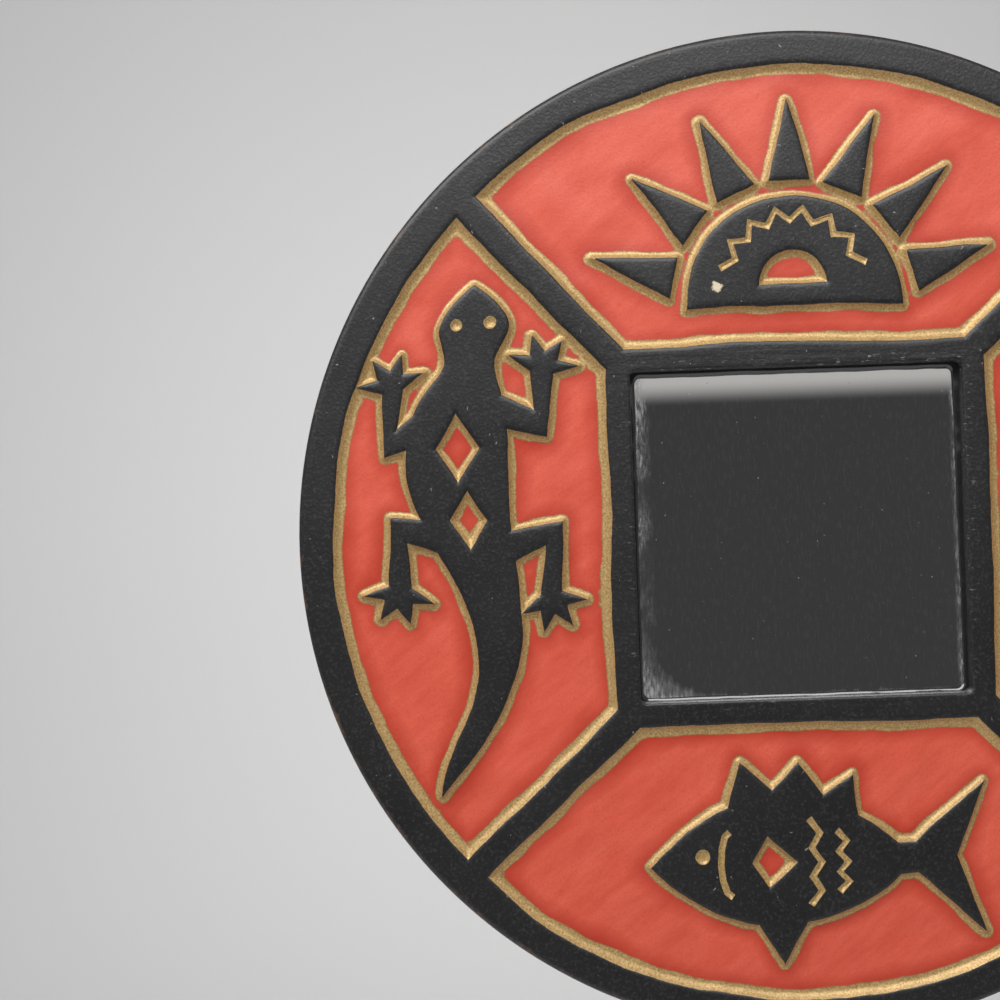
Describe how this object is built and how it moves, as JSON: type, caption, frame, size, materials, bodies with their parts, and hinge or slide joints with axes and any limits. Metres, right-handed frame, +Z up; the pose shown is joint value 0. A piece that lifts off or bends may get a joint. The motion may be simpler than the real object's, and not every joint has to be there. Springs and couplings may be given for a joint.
{
  "type": "wall mirror",
  "caption": "Round carved wooden wall mirror, painted black, coral red and gold, with a square glass, sunk ornament panels and a ring hanger let into its back",
  "frame": {"origin": "centre of the back, in the wall plane", "axes": "+Z up, -Y out of the wall towards the viewer, +X to the viewer's right"},
  "size_m": [0.3999, 0.018, 0.4],
  "materials": {
    "painted_wood": "matt black over the carving, coral red grounds, gold slopes",
    "mirror": "silvered float glass",
    "filler": "hard black glazing filler, smoothed by hand",
    "card": "grey-brown cushion card",
    "plywood": "bare thin plywood",
    "pin_steel": "bright drawn steel",
    "hanger_brass": "brass, a little dull"
  },
  "bodies": {
    "mirror": {"carved_frame": "painted_wood", "mirror_glass": "mirror", "glazing_bead": "filler", "cushion_card": "card", "backing_panel": "plywood", "panel_pin_1": "pin_steel", "panel_pin_2": "pin_steel", "panel_pin_3": "pin_steel", "panel_pin_4": "pin_steel", "panel_pin_5": "pin_steel", "panel_pin_6": "pin_steel", "panel_pin_7": "pin_steel", "panel_pin_8": "pin_steel", "hanger_strap": "hanger_brass", "hanger_screw_upper": "hanger_brass", "hanger_screw_lower": "hanger_brass"},
    "ring": {"hanger_ring": "hanger_brass"}
  },
  "joints": [
    {"name": "ring_swing", "type": "hinge", "parent": "mirror", "child": "ring", "pos_m": [0, -0.00347, 0.158], "axis": [1, 0, 0], "range_deg": [0, 180]}
  ]
}
